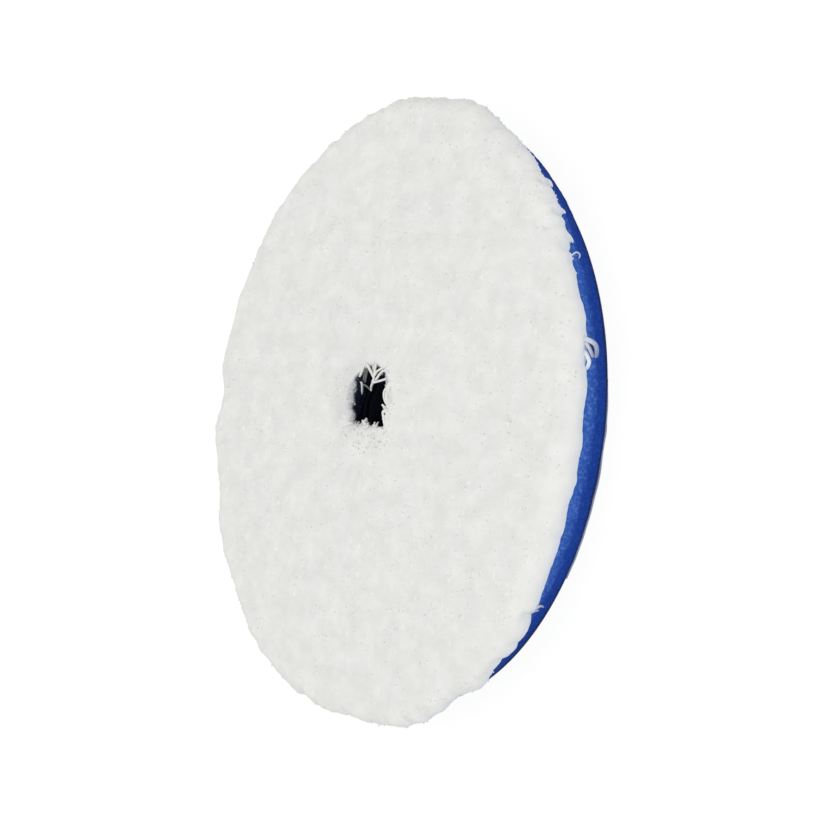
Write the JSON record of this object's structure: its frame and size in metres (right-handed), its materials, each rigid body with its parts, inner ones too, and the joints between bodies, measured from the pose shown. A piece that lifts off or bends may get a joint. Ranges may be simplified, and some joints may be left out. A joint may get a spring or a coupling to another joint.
{
  "type": "polishing pad",
  "caption": "Round polishing pad: short white tufted pile on a blue foam disc with a loop cloth back and a centre hole, for a hook-faced polisher plate.",
  "frame": {"origin": "centre of the loop backing's rear face", "axes": "+Z out through the pile face, along the pad's axis; X and Y lie in the rear face"},
  "size_m": [0.1498, 0.152, 0.0182],
  "materials": {
    "pile": "white tufted yarn, matt",
    "cloth": "knitted ground cloth, matt",
    "bond": "set adhesive film, satin",
    "foam": "fine-celled open foam, matt",
    "loop": "brushed loop cloth, matt"
  },
  "bodies": {
    "root": {"tufted_pile": "pile", "base_cloth": "cloth", "front_bond_film": "bond", "foam_disc": "foam", "rear_bond_film": "bond", "loop_backing": "loop"}
  },
  "joints": []
}
